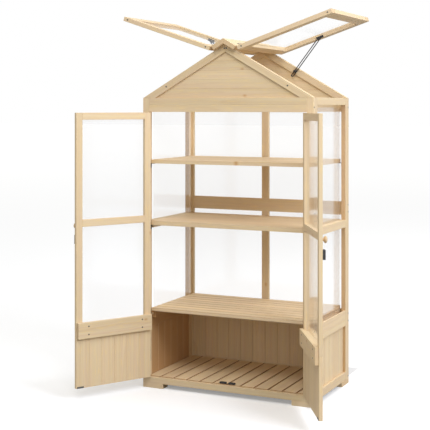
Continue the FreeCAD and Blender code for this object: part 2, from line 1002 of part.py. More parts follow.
def door_pieces():
    # The left door's pieces, closed
    return {
        "frame": make_door_frame(),
        "lower_boards": make_door_boards(),
        "batten": make_door_batten(),
        "panes": make_door_panes(),
        "knob": make_door_knob(),
        "catch_plate": make_catch_plate(),
        "fixings": door_hinge_leaves(False) + make_batten_screws(),
    }


def save_carcass():
    save("corner_feet", make_corner_feet())
    save("front_stiles", make_front_stiles())
    save("front_header", make_front_header())
    save("front_apron", [front_rail(foot_height, floor_top - apron_below_floor)])
    save("rear_stiles", make_rear_stiles())
    save("rear_rails", make_rear_rails())
    save("rear_cross_board", make_rear_cross_board())
    save("rear_centre_post", make_rear_centre_post())
    save("rear_lower_boards", make_rear_lower_boards())
    save("rear_panes", make_rear_panes())
    save("side_stiles", make_side_stiles())
    save("side_rails", make_side_rails())
    save("side_boards", make_side_boards())
    save("side_sheet_right", [make_side_sheet()])
    save("side_sheet_left", [mirrored(make_side_sheet())])
    save("sheet_battens", make_sheet_battens())
    save("floor_bearers", make_floor_bearers())
    save("floor_slats", make_floor_slats())
    save("cabinet_top_bearers", make_cabinet_bearers())
    save("cabinet_top_slats", make_cabinet_slats())
    save("middle_shelf", make_shelf(middle_shelf_top, middle_shelf_thickness))
    save("upper_shelf", make_shelf(upper_shelf_top, upper_shelf_thickness))
    save("shelf_brackets", make_shelf_brackets())
    save("rake_boards", make_rake_boards())
    save("gable_boards", make_gable_boards())
    save("ridge_boards", make_ridge_boards())
    save("magnetic_catches", make_magnetic_catches())
    save("carcass_screws", make_carcass_screws())
    save("stay_studs", make_stay_studs())
    save("door_hinge_leaves", both_sides(door_hinge_leaves(True)))
    save("lid_hinge_leaves", both_sides(lid_hinge_leaves(True)))


def save_doors():
    for piece, shapes in door_pieces().items():
        left = [shape.copy() for shape in shapes]
        right = [mirrored(shape) for shape in shapes]
        save("door_left_" + piece, open_left_door(left))
        save("door_right_" + piece, open_right_door(right))
    save("door_left_bolt_keeper", open_left_door(make_bolt_keeper()))
    save("door_right_bolt_plate", open_right_door(make_bolt_plate()))
    save("door_bolt", open_right_door(make_bolt()))


def save_lids():
    for piece, shapes in lid_pieces().items():
        save("lid_right_" + piece, shapes)
        save("lid_left_" + piece, [mirrored(shape) for shape in shapes])


os.makedirs("parts", exist_ok=True)
save_carcass()
save_doors()
save_lids()
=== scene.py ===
# Dresses a wooden mini greenhouse: planed pine boards, hazy clear sheets, zinc screws and black
# fittings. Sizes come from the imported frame, in metres, so a piece lies where its CAD solid lies.

import json
import math
import random

import bmesh
import bpy
from bpy.props import FloatProperty, FloatVectorProperty, IntProperty, PointerProperty
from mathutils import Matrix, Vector

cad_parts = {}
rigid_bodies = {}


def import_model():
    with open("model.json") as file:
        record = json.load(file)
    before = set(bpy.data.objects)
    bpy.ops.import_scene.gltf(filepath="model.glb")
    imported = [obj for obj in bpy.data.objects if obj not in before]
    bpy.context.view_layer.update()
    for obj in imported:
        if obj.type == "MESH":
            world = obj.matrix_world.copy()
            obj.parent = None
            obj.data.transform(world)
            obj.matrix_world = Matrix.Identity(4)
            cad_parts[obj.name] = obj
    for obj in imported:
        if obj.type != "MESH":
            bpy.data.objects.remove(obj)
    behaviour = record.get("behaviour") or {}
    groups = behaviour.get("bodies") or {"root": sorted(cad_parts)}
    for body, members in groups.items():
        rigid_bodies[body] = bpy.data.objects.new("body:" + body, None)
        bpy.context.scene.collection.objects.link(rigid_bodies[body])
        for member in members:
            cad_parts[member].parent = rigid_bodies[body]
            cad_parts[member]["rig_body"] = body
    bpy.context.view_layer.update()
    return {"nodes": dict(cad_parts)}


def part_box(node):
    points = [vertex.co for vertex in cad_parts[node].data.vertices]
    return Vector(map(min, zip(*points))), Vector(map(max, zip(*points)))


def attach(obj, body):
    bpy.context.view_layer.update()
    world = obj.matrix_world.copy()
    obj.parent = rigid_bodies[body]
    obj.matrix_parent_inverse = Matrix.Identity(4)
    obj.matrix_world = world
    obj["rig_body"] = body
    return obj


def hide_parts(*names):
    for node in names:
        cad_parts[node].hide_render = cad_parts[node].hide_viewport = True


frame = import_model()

bl_info = {
    "name": "Wooden mini greenhouse",
    "version": (1, 0, 0),
    "blender": (4, 5, 0),
    "location": "View3D > Sidebar > Greenhouse",
    "description": "Dresses the frame of a wooden mini greenhouse piece by piece",
    "category": "Object",
}

# Corners nearer than this are one corner, and so are those with the same digits
SAME_CORNER = 1e-5
CORNER_DIGITS = 5
# Triangles that turn less than this are one flat side
FLAT_ANGLE = math.radians(1)
# Least cosine of a face that looks a given way, and of one that lies square on its board
LOOKS = 0.8
SQUARE = 0.99

# Nodes of the frame, by what they are made of
FRAME_TIMBERS = (
    "corner_feet", "front_stiles", "front_header", "front_apron", "rear_stiles", "rear_rails",
    "rear_cross_board", "rear_centre_post", "side_stiles", "side_rails", "floor_bearers",
    "cabinet_top_bearers", "sheet_battens",
)
ROOF_TIMBERS = ("rake_boards", "ridge_boards", "lid_left_frame", "lid_right_frame")
DOORS = ("door_left", "door_right")
LIDS = ("lid_left", "lid_right")
CLEAR_SHEETS = (
    "side_sheet_left", "side_sheet_right", "rear_panes", "door_left_panes", "door_right_panes",
    "lid_left_sheet", "lid_right_sheet",
)
ZINC_FITTINGS = (
    "door_hinge_leaves", "lid_hinge_leaves", "shelf_brackets", "stay_studs",
    "door_left_catch_plate", "door_right_catch_plate",
)
BLACK_FITTINGS = (
    "door_bolt", "door_left_bolt_keeper", "door_right_bolt_plate", "lid_left_stay_bar",
    "lid_right_stay_bar", "lid_left_stay_bracket", "lid_right_stay_bracket",
)

# Profile of a door knob, as shares of its radius and of its length
EGG = (
    (0.5, 0.0), (0.42, 0.22), (0.8, 0.42), (1.0, 0.64), (0.74, 0.89), (0.3, 0.985), (0.0, 1.0),
)

# The photograph's camera, and the point that the lamps are turned to
CAMERA_PLACE = (1.9201, -4.3982, 1.2397)
CAMERA_TURN = math.radians(25.27)
CAMERA_LENS = 90.08
CAMERA_SHIFT = -0.2524
LAMP_AIM = Vector((0, 0, 0.8))


def length_setting(name, description, default):
    """A small size that a user can change."""
    return FloatProperty(
        name=name, description=description, default=default, min=0.0001, max=0.005,
        subtype="DISTANCE", unit="LENGTH",
    )


def power_setting(name, description, default):
    """The power of a lamp, which a user can change."""
    return FloatProperty(
        name=name, description=description, default=default, min=0, max=1000,
        subtype="POWER", unit="POWER",
    )


def colour_setting(name, description, *screen):
    """A colour that a user can change, given as it looks on a screen, from 0 to 255."""
    def linear(value):
        value = value / 255
        return value / 12.92 if value <= 0.04045 else ((value + 0.055) / 1.055) ** 2.4

    return FloatVectorProperty(
        name=name, description=description, default=[linear(value) for value in screen],
        min=0, max=1, size=3, subtype="COLOR",
    )


class GreenhouseSizes(bpy.types.PropertyGroup):
    """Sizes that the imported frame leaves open."""

    timber_edge: length_setting("Timber edge", "Radius of the eased edges of frame timbers", 0.0011)
    slat_edge: length_setting("Slat edge", "Radius of the eased edges of the floor slats", 0.0022)
    top_slat_edge: length_setting(
        "Top slat edge", "Radius of the rounded edges of the slats of the cabinet top", 0.0034
    )
    shelf_edge: length_setting("Shelf edge", "Radius of the edges of the shelf boards", 0.0003)
    board_edge: length_setting("Board edge", "Radius of the edges of the grooved boards", 0.0004)
    gable_edge: length_setting("Gable edge", "Radius of the edges of the gable boards", 0.0007)
    catch_edge: length_setting(
        "Catch edge", "Radius of the rounded edges of the magnetic catches", 0.0026
    )
    screw_radius: length_setting("Screw head radius", "Radius of a screw head", 0.004)
    screw_height: length_setting(
        "Screw head height", "How far a screw head stands above the wood", 0.0008
    )
    lobe_depth: length_setting(
        "Lobe depth", "Depth of the hollows between the lobes of a clamp knob's grip", 0.0012
    )
    grip_lobes: IntProperty(
        name="Grip lobes", description="Number of lobes round the grip of a clamp knob",
        default=9, min=3, max=24,
    )
    seed: IntProperty(
        name="Seed", description="Start of the random differences between boards",
        default=4, min=0, max=1000,
    )


class GreenhouseColours(bpy.types.PropertyGroup):
    """Colours and light levels."""

    pine: colour_setting("Pine", "Pale early wood of the planed pine", 232, 212, 175)
    pine_shade: colour_setting("Darker pine", "Darker staves of the same pine", 218, 190, 148)
    late_wood: colour_setting(
        "Late wood", "Darker line at the edge of each growth ring", 196, 155, 102
    )
    fleck: colour_setting("Fleck", "Small pale yellow dashes along the grain", 238, 210, 148)
    knot: colour_setting("Knot", "Heart of a small knot", 196, 142, 84)
    # Painted shade: this colour darkens the rounded edges, standing for shade in the gaps between
    # slats and boards
    painted_gap_shade: colour_setting(
        "Dark edge", "Darker rounded edges of the slats and boards", 150, 108, 66
    )
    # Painted shade: this colour darkens faces inside the cabinet and in the side sheets' recesses,
    # where shade falls
    inner: colour_setting(
        "Shaded wood", "Darker wood inside the cabinet and in the sides' recesses", 178, 130, 78
    )
    blush: colour_setting("Pink blush", "Faint pink of some staves", 226, 198, 168)
    sheet: colour_setting("Sheet haze", "Haze of the clear plastic sheets", 225, 225, 225)
    black: colour_setting("Black paint", "Black paint of the bolt and the stays", 34, 33, 33)
    zinc: colour_setting("Zinc", "Zinc plating of screws and hinges", 92, 90, 87)
    floor: colour_setting("Floor", "Pale studio floor", 232, 232, 231)
    floor_bounce: colour_setting(
        "Floor bounce", "Light that the floor throws back at the object", 150, 148, 144
    )
    key_tint: FloatVectorProperty(
        name="Key light colour", description="Colour of the lamp on the right, a little cool",
        default=(0.96, 1.0, 1.13), min=0, max=2, size=3, subtype="COLOR",
    )
    lid_haze: FloatProperty(
        name="Haze of the lids", description="Haze and gloss of the lids' sheets beside the rest",
        default=0.15, min=0, max=1, subtype="FACTOR",
    )
    ambient: FloatProperty(
        name="Ambient light", description="Strength of the even light from all sides",
        default=0.68, min=0, max=2,
    )
    key_power: power_setting("Key light", "Power of the large soft lamp on the right", 146.0)
    front_power: power_setting("Front light", "Power of the soft lamp high up in front", 63.0)
    rear_power: power_setting("Rear light", "Power of the large soft lamp high up behind", 56.0)


def sizes():
    return bpy.context.scene.greenhouse_sizes


def colours():
    return bpy.context.scene.greenhouse_colours


class Value:
    """An output socket that can be used in sums. Each operator adds one Math node."""

    def __init__(self, graph, socket):
        self.graph = graph
        self.socket = socket

    def _math(self, operation, *operands):
        values = dict(enumerate(operands))
        return self.graph.node("ShaderNodeMath", {"operation": operation}, values)

    def __add__(self, other):
        return self._math("ADD", self, other)

    def __radd__(self, other):
        return self + other

    def __sub__(self, other):
        return self._math("SUBTRACT", self, other)

    def __rsub__(self, other):
        return self._math("SUBTRACT", other, self)

    def __mul__(self, other):
        return self._math("MULTIPLY", self, other)

    def __rmul__(self, other):
        return self * other

    def __truediv__(self, other):
        return self._math("DIVIDE", self, other)

    def __rtruediv__(self, other):
        return self._math("DIVIDE", other, self)

    def __pow__(self, other):
        return self._math("POWER", self, other)

    def __gt__(self, other):
        return self._math("GREATER_THAN", self, other)

    def __lt__(self, other):
        return self._math("LESS_THAN", self, other)

    def fraction(self):
        return self._math("FRACT", self)

    def at_most(self, other):
        return self._math("MINIMUM", self, other)


class Graph:
    """A node tree that is built one node at a time."""

    def __init__(self, tree):
        self.tree = tree

    def node(self, kind, settings=None, values=None, output=0):
        """A node of that type. Settings come first, then the values and links of its sockets.

        It gives the output of that name or number, or a list where several are named.
        """
        made = self.tree.nodes.new(kind)
        for key, value in (settings or {}).items():
            if key == "stops":
                self._set_stops(made.color_ramp, value)
            else:
                setattr(made, key, value)
        for key, value in (values or {}).items():
            if isinstance(value, Value):
                self.tree.links.new(value.socket, made.inputs[key])
            else:
                made.inputs[key].default_value = value
        if isinstance(output, tuple):
            return [Value(self, made.outputs[each]) for each in output]
        return Value(self, made.outputs[output]) if len(made.outputs) else None

    def _set_stops(self, ramp, stops):
        while len(ramp.elements) < len(stops):
            ramp.elements.new(0.5)
        for element, (position, level) in zip(ramp.elements, stops):
            element.position = position
            element.color = (level, level, level, 1)


class Finish(Graph):
    """A material, with the nodes that the finishes share."""

    def __init__(self, name):
        material = bpy.data.materials.new(name)
        material.use_nodes = True
        super().__init__(material.node_tree)
        self.tree.nodes.clear()

    def attribute(self, name, output="Fac"):
        return self.node("ShaderNodeAttribute", {"attribute_name": name}, output=output)

    def object_place(self):
        return self.node("ShaderNodeTexCoord", output="Object")

    def stretched(self, vector, scale):
        return self.node("ShaderNodeVectorMath", {"operation": "MULTIPLY"}, {0: vector, 1: scale})

    def moved(self, vector, amount, by):
        shift = self.node("ShaderNodeVectorMath", {"operation": "SCALE"}, {0: by, "Scale": amount})
        return self.node("ShaderNodeVectorMath", {"operation": "ADD"}, {0: vector, 1: shift})

    def split(self, vector):
        return self.node("ShaderNodeSeparateXYZ", None, {0: vector}, output=("X", "Y", "Z"))

    def noise(self, vector, scale=1.0, detail=2.0, roughness=0.5):
        values = {"Vector": vector, "Scale": scale, "Detail": detail, "Roughness": roughness}
        return self.node("ShaderNodeTexNoise", None, values)

    def ramp(self, value, stops):
        """A level that follows a value through stops of (value, level)."""
        return self.node("ShaderNodeValToRGB", {"stops": stops}, {0: value})

    def mixed(self, share, first, second, blend="MIX"):
        settings = {"data_type": "RGBA", "blend_type": blend}
        values = {0: share, 6: self._colour(first), 7: self._colour(second)}
        return self.node("ShaderNodeMix", settings, values, output=2)

    def _colour(self, colour):
        return colour if isinstance(colour, Value) else (*colour, 1)

    def relief(self, height, strength, distance):
        values = {"Height": height, "Strength": strength, "Distance": distance}
        return self.node("ShaderNodeBump", None, values)

    def surface(self, values):
        return self.node("ShaderNodeBsdfPrincipled", None, values)

    def layered(self, share, below, above):
        return self.node("ShaderNodeMixShader", None, {0: share, 1: below, 2: above})

    def close(self, shader):
        self.node("ShaderNodeOutputMaterial", None, {"Surface": shader})


def pine_finish(name, rings, staves, tone=0.98, spread=0.08):
    """Planed pine: soft staves, faint growth rings and fibres, a few knots and darker end grain.

    Rings and staves say how strong those are. The tone is the mean level of the boards, and the
    spread is how much they differ. A stretch squeezes a pattern along, across and through a board.
    """
    tones = colours()
    finish = Finish(name)
    grain = finish.attribute("grain", "Vector")
    board = finish.attribute("board")
    place = finish.moved(grain, board, (7.3, 3.1, 5.7))
    across, through = finish.split(grain)[1:]

    def drawn(factor):
        """Another number from 0 to 1 for each board, from its own."""
        return (board * factor).fraction()

    def streaks(stretch, stops, scale=1.0, detail=1.0, roughness=0.5):
        pattern = finish.noise(finish.stretched(place, stretch), scale, detail, roughness)
        return finish.ramp(pattern, stops)

    # Growth rings lie round a pith that runs below the board, and wander along it
    ring_width, ring_wander = 0.0058, 0.032
    wander = finish.noise(finish.stretched(place, (1.9, 7.0, 7.0)), detail=2.5) - 0.5
    pith_aside = (drawn(5.3) - 0.5) * 0.07
    pith_below = drawn(3.7) * 0.045 + 0.018
    radius = ((across - pith_aside) ** 2.0 + (through + pith_below) ** 2.0) ** 0.5
    ring = ((radius + wander * ring_wander) / ring_width).fraction()
    late = finish.ramp(ring, [(0.0, 0.2), (0.4, 0.0), (0.8, 0.75), (0.92, 1.0), (1.0, 0.2)])
    late = late * streaks((1.3, 24.0, 24.0), [(0.35, 0.25), (0.7, 1.0)])

    # Staves, flecks and fibres run the length of the board
    stave = streaks((0.6, 70.0, 46.0), [(0.34, 0.0), (0.66, 1.0)], detail=2.0)
    blush = streaks((1.1, 38.0, 30.0), [(0.42, 0.0), (0.62, 1.0)], scale=1.3)
    fleck = streaks((22.0, 210.0, 210.0), [(0.52, 0.0), (0.7, 1.0)])
    fibre = streaks((9.0, 520.0, 520.0), [(0.3, 0.0), (0.72, 1.0)], detail=4.0, roughness=0.62)

    # Knots are small and drawn out along the board, and most cells of the pattern have none
    without_knot, ragged = 0.9, 0.05
    distance, cell = finish.node(
        "ShaderNodeTexVoronoi", {"voronoi_dimensions": "2D"},
        {"Vector": finish.stretched(place, (0.62, 1.0, 1.0)), "Scale": 11.0},
        output=("Distance", "Color"),
    )
    knot = finish.ramp(distance + wander * ragged, [(0.012, 1.0), (0.05, 0.4), (0.1, 0.0)])
    knot = knot * (finish.split(cell)[0] > without_knot)

    # Layers over the pale early wood: the share of each and its colour
    layers = (
        (stave * (0.6 * staves) + 0.1, tones.pine_shade),
        (blush * 0.45, tones.blush),
        (late * rings, tones.late_wood),
        (fibre * 0.08, tones.late_wood),
        (fleck * 0.4, tones.fleck),
        (knot * 0.7, tones.knot),
        (finish.attribute("end_grain") * 0.3, tones.late_wood),
        # Painted shade: the rounded edges are darkened as if shaded in the gaps between boards
        (finish.attribute("eased"), tones.painted_gap_shade),
        # Painted shade: faces inside the cabinet and in the recesses are darkened as if in shade
        (finish.attribute("inner"), tones.inner),
    )
    colour = tones.pine
    for share, layer in layers:
        colour = finish.mixed(share, colour, layer)

    # Each board has its own level, and darker green and blue keep it warm
    level = drawn(11.3) * spread + (tone - spread / 2)
    levels = {0: level, 1: level * 0.995, 2: level * 0.985}
    grey = finish.node("ShaderNodeCombineColor", None, levels)
    finish.close(finish.surface({
        "Base Color": finish.mixed(1.0, colour, grey, "MULTIPLY"),
        "Roughness": fibre * 0.14 + 0.55,
        "Specular IOR Level": 0.3,
        "Normal": finish.relief(fibre * 0.6 - late * 0.4, strength=0.18, distance=0.0004),
    }))


def turned_finish(name):
    """Turned and lightly sealed wood of the knobs, with rings that show on its end."""
    tones = colours()
    finish = Finish(name)
    grain = finish.attribute("grain", "Vector")
    ring_width = 0.0021
    wander = finish.noise(grain, scale=60.0)
    across, through = finish.split(grain)[1:]
    ring = ((across ** 2.0 + through ** 2.0) ** 0.5 / ring_width + wander).fraction()
    late = finish.ramp(ring, [(0.0, 0.0), (0.7, 0.6), (0.9, 1.0), (1.0, 0.0)])
    fibre = finish.noise(finish.stretched(grain, (60.0, 900.0, 900.0)), detail=3.0)
    finish.close(finish.surface({
        "Base Color": finish.mixed(late * 0.4 + fibre * 0.25, tones.pine_shade, tones.late_wood),
        "Roughness": fibre * 0.1 + 0.38,
        "Coat Weight": 0.15,
        "Normal": finish.relief(fibre, strength=0.15, distance=0.0003),
    }))


def sheet_finish(name):
    """Clear plastic sheet with an even haze and a soft gloss that grows at a low angle.

    The sheets of the lids, which lie above the rear panes, are clearer.
    """
    tones = colours()
    finish = Finish(name)
    place = finish.object_place()
    smears = finish.noise(place, scale=3.0)
    facing = finish.node("ShaderNodeLayerWeight", None, {"Blend": 0.5}, output="Facing")
    lids_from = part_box("rear_panes")[1].z + 0.02
    level = 1.0 - (finish.split(place)[2] > lids_from) * (1.0 - tones.lid_haze)
    haze = (smears * 0.02 + 0.045) * level
    face_on_gloss = 0.04
    sheen = (facing ** 5.0 + face_on_gloss) * level
    clear = finish.node("ShaderNodeBsdfTransparent")
    milk = finish.surface({
        "Base Color": (*tones.sheet, 1), "Roughness": smears * 0.02 + 0.4, "IOR": 1.2,
    })
    gloss = finish.node("ShaderNodeBsdfGlossy", None, {"Color": (1, 1, 1, 1), "Roughness": 0.12})
    finish.close(finish.layered(sheen, finish.layered(haze, clear, milk), gloss))


def worn_finish(name, paint, metallic, rough, mottle_scale):
    """Painted or plated metal, or moulded plastic, with fine mottling and a little wear."""
    colour = getattr(colours(), paint)
    finish = Finish(name)
    place = finish.object_place()
    mottle = finish.noise(place, scale=mottle_scale, detail=4.0, roughness=0.65)
    wear = finish.ramp(finish.noise(place, scale=90.0, detail=3.0), [(0.55, 0.0), (0.75, 1.0)])
    lighter = [min(1, channel * 1.5 + 0.02) for channel in colour]
    finish.close(finish.surface({
        "Base Color": finish.mixed(wear * 0.5 + mottle * 0.3, colour, lighter),
        "Metallic": metallic,
        "Roughness": mottle * 0.25 + rough,
        "Normal": finish.relief(mottle, strength=0.15, distance=0.0002),
    }))


def floor_finish(name):
    """Pale floor that the camera sees as white except where the object shades it.

    Its glow makes up for the lamps' light, which fades away from the object.
    """
    tones = colours()
    finish = Finish(name)
    place = finish.object_place()
    across, deep = finish.split(place)[:2]
    by_camera, by_gloss = finish.node(
        "ShaderNodeLightPath", output=("Is Camera Ray", "Is Glossy Ray")
    )
    seen = by_camera + by_gloss
    pale = finish.mixed(finish.noise(place, scale=0.6) * 0.05, tones.floor, (0.7, 0.7, 0.7))
    colour = finish.mixed(seen, tones.floor_bounce, pale)

    # No glow under the cabinet, and less of it where the lamps reach
    left, right, front, rear = -0.36, 0.36, -0.1, 0.5
    below = (across > left) * (across < right) * (deep > front) * (deep < rear)
    lamp_reach, far_glow, lamp_share = 8.0, 0.5, 0.24
    lit = 1.0 / ((across ** 2.0 + deep ** 2.0) / lamp_reach ** 2 + 1.0)
    strength = seen * (1.0 - below) * (far_glow - lit * lamp_share)
    glow = finish.node("ShaderNodeEmission", None, {"Color": (1, 1, 1, 1), "Strength": strength})
    matt = finish.node("ShaderNodeBsdfDiffuse", None, {"Color": colour})
    finish.close(finish.node("ShaderNodeAddShader", None, {0: matt, 1: glow}))


# Of each finish: the material slot of the frame that it stands for, what makes it, its settings
FINISHES = {
    "planed_pine_frame": ("pine_frame", pine_finish, {"rings": 0.2, "staves": 0.7}),
    "planed_pine_boarding": (
        "pine_boarding", pine_finish, {"rings": 0.22, "staves": 0.75, "tone": 1.01},
    ),
    "planed_pine_slats": (
        "pine_slats", pine_finish, {"rings": 0.22, "staves": 0.9, "tone": 1.03, "spread": 0.14},
    ),
    "turned_knob_wood": ("turned_wood", turned_finish, {}),
    "hazy_clear_sheet": ("clear_sheet", sheet_finish, {}),
    "black_painted_metal": (
        "black_metal", worn_finish,
        {"paint": "black", "metallic": 0.0, "rough": 0.32, "mottle_scale": 700.0},
    ),
    "black_moulded_plastic": (
        "black_plastic", worn_finish,
        {"paint": "black", "metallic": 0.0, "rough": 0.45, "mottle_scale": 1500.0},
    ),
    "zinc_plated_steel": (
        "zinc_steel", worn_finish,
        {"paint": "zinc", "metallic": 0.8, "rough": 0.38, "mottle_scale": 500.0},
    ),
    "studio_floor": (None, floor_finish, {}),
}


def finish_named(name):
    """The material of that name, made the first time that it is asked for."""
    if name not in bpy.data.materials:
        make, settings = FINISHES[name][1:]
        make(name, **settings)
    return bpy.data.materials[name]


def placed(name, data):
    """A new object in the scene."""
    made = bpy.data.objects.new(name, data)
    bpy.context.scene.collection.objects.link(made)
    return made


def solids(node):
    """Each solid of a frame node, as a list of triangles. A solid ends where its surface closes."""
    mesh = frame["nodes"][node].data
    found, triangles, open_edges = [], [], set()
    for face in mesh.polygons:
        corners = [mesh.vertices[index].co.copy() for index in face.vertices]
        keys = [tuple(round(value, CORNER_DIGITS) for value in corner) for corner in corners]
        triangles.append(corners)
        open_edges ^= {frozenset(edge) for edge in zip(keys, keys[1:] + keys[:1])}
        if not open_edges:
            found.append(triangles)
            triangles = []
    if triangles:
        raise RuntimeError(f"a solid of {node} isn't closed")
    return found


def middle_of(triangles):
    points = [corner for triangle in triangles for corner in triangle]
    low = Vector(map(min, zip(*points)))
    high = Vector(map(max, zip(*points)))
    return (low + high) / 2


def middle_of_node(node):
    low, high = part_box(node)
    return (low + high) / 2


def welded(triangles):
    """A solid with one vertex for each corner and one face for each flat side."""
    shape = bmesh.new()
    for corners in triangles:
        shape.faces.new([shape.verts.new(corner) for corner in corners])
    bmesh.ops.remove_doubles(shape, verts=shape.verts, dist=SAME_CORNER)
    bmesh.ops.dissolve_limit(
        shape, angle_limit=FLAT_ANGLE, verts=shape.verts, edges=shape.edges
    )
    return shape


def round_edges(shape, edges, radius, segments):
    bmesh.ops.bevel(
        shape, geom=edges, offset=radius, segments=segments, profile=0.5,
        affect="EDGES", clamp_overlap=True,
    )


def largest_side(shape):
    """Direction of the largest face of a shape."""
    return max(shape.faces, key=lambda face: face.calc_area()).normal.copy()


def board_axes(shape):
    """Directions along, across and through a board: its longest edge and its largest face."""
    longest = max(shape.edges, key=lambda edge: edge.calc_length())
    along = (longest.verts[1].co - longest.verts[0].co).normalized()
    through = largest_side(shape)
    return along, through.cross(along).normalized(), through


def no_shade(middle, normal):
    """A board with no painted shade on any face."""
    return 0.0


def cabinet_shade(middle, normal):
    """Painted shade on the faces that look into the cabinet or out of its opening."""
    inward = -normal.x if middle.x > 0 else normal.x
    inside = middle.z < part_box("cabinet_top_slats")[1].z
    return 0.75 if inside and max(inward, -normal.y) > LOOKS else 0.0


def recess_shade(middle, normal):
    """Painted shade on the rear corner stiles' front faces, which close the side sheets' recess."""
    return 0.55 if middle.y > 0 and normal.y < -LOOKS else 0.0


# Timbers with painted shade on some faces
SHADES = {
    "cabinet_top_bearers": cabinet_shade,
    "side_rails": cabinet_shade,
    "side_stiles": recess_shade,
}


class Boards:
    """Boards with eased edges, and the attributes that the pine finish reads.

    How dark the eased edges are is painted shade of the gaps between boards. The shade tells how
    much painted shade a face gets, from the board's middle and the face's direction.
    """

    def __init__(self, seed, edge_shade=0.0, shade=no_shade):
        self.chance = random.Random(seed)
        self.edge_shade = edge_shade
        self.shade = shade
        self.points, self.grain, self.board = [], [], []
        self.faces, self.ends, self.eased, self.inner = [], [], [], []

    def add(self, triangles, edge):
        shape = welded(triangles)
        axes = board_axes(shape)
        middle = middle_of(triangles)
        round_edges(shape, self._long_enough(shape, edge), edge, segments=2)
        shape.verts.index_update()
        first = len(self.points)
        number = self.chance.random()
        for vertex in shape.verts:
            self.points.append(vertex.co.copy())
            self.grain.append([(vertex.co - middle).dot(axis) for axis in axes])
            self.board.append(number)
        for face in shape.faces:
            self.faces.append([first + vertex.index for vertex in face.verts])
            turns = [abs(face.normal.dot(axis)) for axis in axes]
            self.ends.append(1.0 if turns[0] > LOOKS else 0.0)
            # Rounded edges get painted shade of the gaps between boards
            self.eased.append(self.edge_shade if max(turns) < SQUARE else 0.0)
            # Faces that the shade function picks get painted shade
            self.inner.append(self.shade(middle, face.normal))
        shape.free()

    def _long_enough(self, shape, edge):
        """The edges with room for the radius. Those of the hinge notches stay sharp."""
        shortest = 1.15 * edge

        def cramped(vertex):
            return any(near.calc_length() < shortest for near in vertex.link_edges)

        return [each for each in shape.edges if not any(cramped(vertex) for vertex in each.verts)]

    def mesh(self, name, numbered=True):
        mesh = bpy.data.meshes.new(name)
        mesh.from_pydata(self.points, [], self.faces)
        add_vectors(mesh, "grain", self.grain)
        if numbered:
            mesh.attributes.new("board", "FLOAT", "POINT").data.foreach_set("value", self.board)
        levels = {"end_grain": self.ends, "eased": self.eased, "inner": self.inner}
        for label, values in levels.items():
            mesh.attributes.new(label, "FLOAT", "FACE").data.foreach_set("value", values)
        mesh.update()
        return mesh


def add_vectors(mesh, label, vectors):
    """One vector for each of a mesh's points, under that name."""
    flat = [value for vector in vectors for value in vector]
    mesh.attributes.new(label, "FLOAT_VECTOR", "POINT").data.foreach_set("vector", flat)


class Arrangement(Graph):
    """A Geometry Nodes tree with named inputs."""

    def __init__(self, name, inputs):
        super().__init__(bpy.data.node_groups.new(name, "GeometryNodeTree"))
        face = self.tree.interface
        face.new_socket("Geometry", in_out="INPUT", socket_type="NodeSocketGeometry")
        self.keys = {}
        for label, kind in inputs.items():
            made = face.new_socket(label, in_out="INPUT", socket_type=kind)
            self.keys[label] = made.identifier
        face.new_socket("Geometry", in_out="OUTPUT", socket_type="NodeSocketGeometry")

    def given(self, label):
        return self.node("NodeGroupInput", output=label)

    def random_number(self, most):
        """A number from 0 to the most for each copy, from the tree's seed."""
        return self.node(
            "FunctionNodeRandomValue", {"data_type": "FLOAT"},
            {2: 0.0, 3: most, "Seed": self.given("Seed")}, output=1,
        )

    def close(self, geometry):
        real = self.node("GeometryNodeRealizeInstances", None, {"Geometry": geometry})
        values = {"Geometry": real, "Material": self.given("Finish")}
        coated = self.node("GeometryNodeSetMaterial", None, values)
        self.node("NodeGroupOutput", None, {"Geometry": coated})

    def grow(self, name, start, values):
        """The plain mesh that the tree makes from a starting mesh."""
        carrier = placed(name, start)
        modifier = carrier.modifiers.new("arrangement", "NODES")
        modifier.node_group = self.tree
        for label, value in values.items():
            modifier[self.keys[label]] = value
        depsgraph = bpy.context.evaluated_depsgraph_get()
        mesh = bpy.data.meshes.new_from_object(
            carrier.evaluated_get(depsgraph), preserve_all_data_layers=True, depsgraph=depsgraph
        )
        carrier.modifiers.remove(modifier)
        bpy.data.objects.remove(carrier)
        return mesh


def board_row():
    """A tree that repeats one board along a line and numbers each board at random."""
    row = Arrangement("board_row", {
        "Count": "NodeSocketInt",
        "Step": "NodeSocketVector",
        "Seed": "NodeSocketInt",
        "Finish": "NodeSocketMaterial",
    })
    line = row.node(
        "GeometryNodeMeshLine", {"mode": "OFFSET", "count_mode": "TOTAL"},
        {"Count": row.given("Count"), "Offset": row.given("Step")},
    )
    boards = row.node(
        "GeometryNodeInstanceOnPoints", None, {"Points": line, "Instance": row.given("Geometry")}
    )
    row.close(row.node(
        "GeometryNodeStoreNamedAttribute", {"data_type": "FLOAT", "domain": "INSTANCE"},
        {"Geometry": boards, "Name": "board", "Value": row.random_number(1.0)},
    ))
    return row


